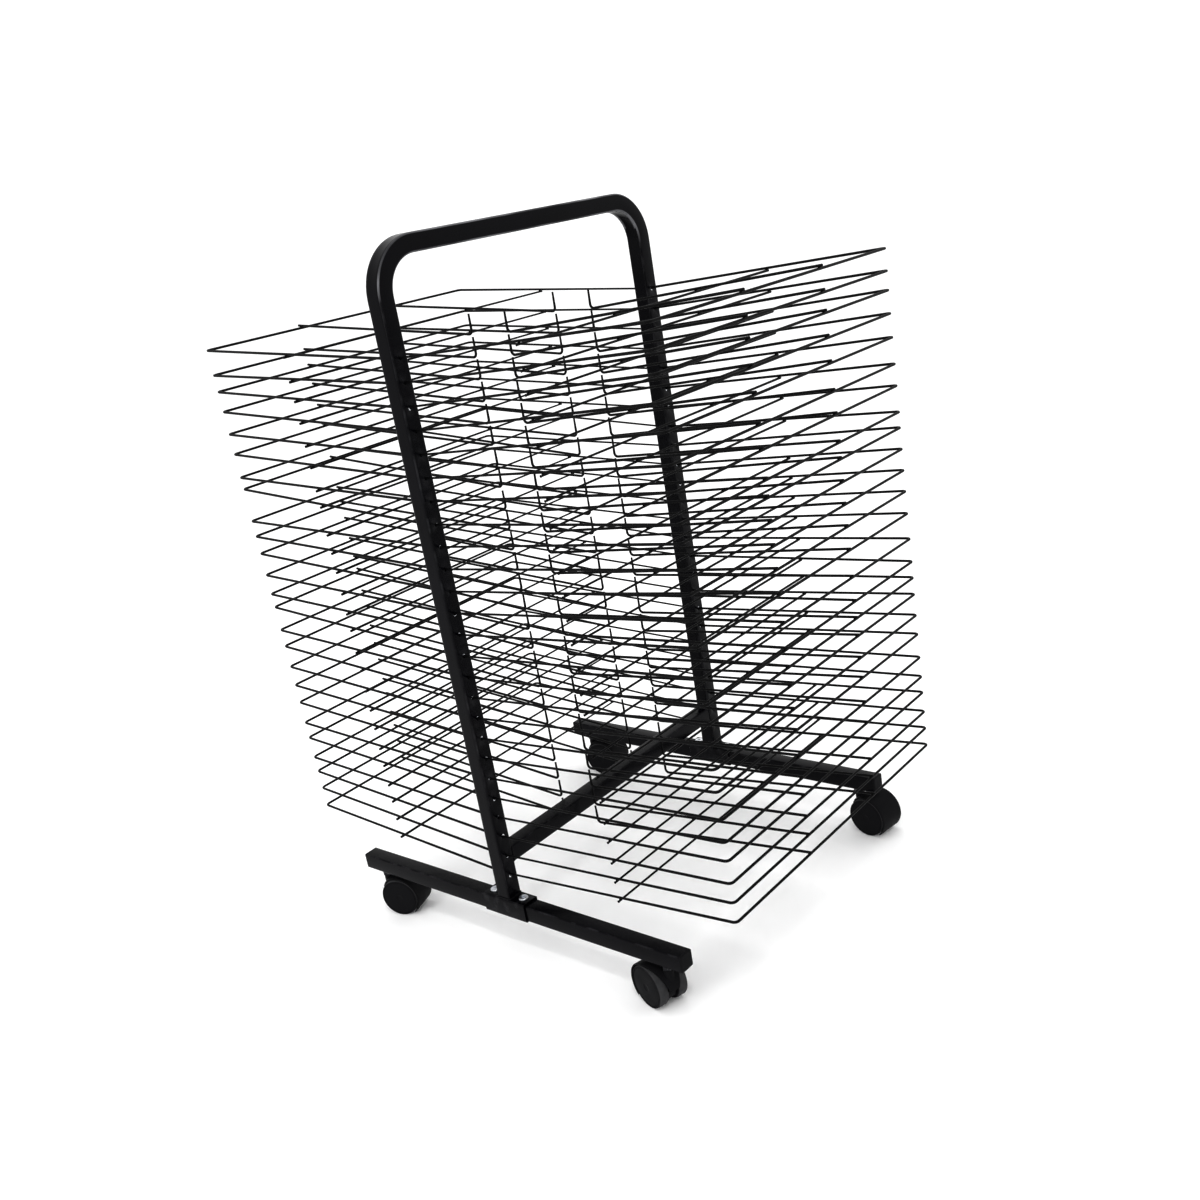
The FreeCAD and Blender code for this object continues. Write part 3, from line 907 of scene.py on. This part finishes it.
def hood_mesh(plastic):
    """The fender over both wheels, the web between them, which below the axle stands in for the
    shade there, and the neck on the stem.
    """
    shape = Shape()
    shape.add(*hood_shell())
    shape.add(*web_and_shade_sheet())
    # (height, radius) in mm, up the neck, over its top and down its bore.
    top = HOOD_TOP / MM
    neck = [(30.0, 5.2), (30.6, 5.8), (top - 1.6, 5.8), (top - 0.5, 5.7), (top, 5.2), (top, 4.1),
            (44.0, 4.1)]
    rings = [ring(Z * (h * MM), X, Y, circle(r * MM, 40)) for h, r in neck]
    shape.add(*skin(rings))
    return build_mesh("castor_hood", *shape.data(), plastic, 35)


def wheel_mesh(plastic):
    """One wheel about the origin, its outer face towards +X, turned about X."""
    # (along the axle, radius) in mm: inner face, tread, rim, groove, disc and hub.
    w = WHEEL_WIDTH / MM
    profile = [
        (0.0, 5.0), (0.0, 23.2), (0.25, 24.2), (0.9, 24.8), (1.8, 25.0), (w - 2.0, 25.0),
        (w - 1.0, 24.8), (w - 0.35, 24.4), (w - 0.05, 23.9), (w, 23.5), (w - 0.15, 23.1),
        (w - 0.9, 22.9), (w - 0.95, 22.5), (w - 0.4, 22.2), (w - 0.25, 21.4),
        (w - 0.1, 15.0), (w, 8.0), (w, 4.5), (w - 0.25, 4.1), (w - 0.3, 0.6), (w - 0.3, 0.01),
    ]
    points = [(along * MM, radius * MM) for along, radius in profile]
    rings = lathe(points, Vector(), X, Y, 72)
    return build_mesh("castor_wheel", *skin(rings, closed=True), plastic, 32)


def axle_mesh(zinc):
    half = CASTOR_HALF - AXLE_SHORT
    rings = [ring(X * (half * s), Y, Z, circle(AXLE_RADIUS, 24)) for s in (-1, 1)]
    return build_mesh("castor_axle", *skin(rings), zinc)


def stem_mesh(steel):
    """The stem with its chamfered hexagonal collar."""
    shape = Shape()
    low, high = HOOD_TOP + COLLAR_GAP, foot_low.z
    flat = COLLAR_WIDTH / 2 / math.cos(math.pi / 6)
    rings = []
    for height, inset in ((low, 0.7), (low + 0.5 * MM, 0.0), (high - 0.5 * MM, 0.0), (high, 0.7)):
        rings.append(ring(Z * height, X, Y, circle(flat - inset * MM, 6)))
    shape.add(*skin(rings))
    rings = [ring(Z * h, X, Y, circle(STEM_RADIUS, 24)) for h in (STEM_BOTTOM, STEM_TOP)]
    shape.add(*skin(rings))
    return build_mesh("castor_stem", *shape.data(), steel, 25)


def make_castors(plastic, tread, zinc, steel):
    hood_shape, wheel = hood_mesh(plastic), wheel_mesh(tread)
    axle, stem = axle_mesh(zinc), stem_mesh(steel)
    hub = Matrix.Translation(side_point(0, 0, 0))
    for corner, (side, end, turn) in CASTORS.items():
        stand = Matrix.Translation((side * UPRIGHT_X, end * STEM_SPACING / 2, 0))
        turned = Matrix.Rotation(math.radians(turn), 4, "Z")
        body = "castor_" + corner
        place_piece("stem_" + corner, stem, stand, "rack", ["castor_stems"])
        # The hood is turned in its mesh, so that its box stays as tight as the frame's.
        hood = hood_shape.copy()
        hood.transform(turned)
        place_piece("hood_" + corner, hood, stand, body, ["castor_hood_" + corner])
        on_axle = stand @ turned @ hub
        place_piece("axle_" + corner, axle, on_axle, body, ["castor_axle_" + corner])
        for letter, way in (("a", 180), ("b", 0)):
            name = "wheel_%s_%s" % (corner, letter)
            outwards = Matrix.Rotation(math.radians(way), 4, "Z")
            shift = outwards @ Matrix.Translation(X * WHEEL_INNER)
            place_piece(name, wheel, on_axle @ shift, name, ["castor_" + name])


def main():
    make_camera()
    make_studio()
    coat = powder_coat("frame_coat", (0.0012, 0.0011, 0.0022), 0.22, 950)
    wire_coat = powder_coat("wire_coat", (0.0015, 0.0015, 0.0018), 0.42, 1300)
    zinc = zinc_plate()
    plastic = moulded_plastic("castor_nylon", (0.0090, 0.0090, 0.0100), 0.46, 0.02 * MM)
    tread = wheel_material()
    make_frame(coat)
    paint_chips(zinc)
    make_feet(coat, plastic, zinc)
    make_shelves(wire_coat)
    make_castors(plastic, tread, zinc, dark_steel())
    nut_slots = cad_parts["castor_nuts"].data.materials
    nut_slots.clear()
    nut_slots.append(zinc)


main()
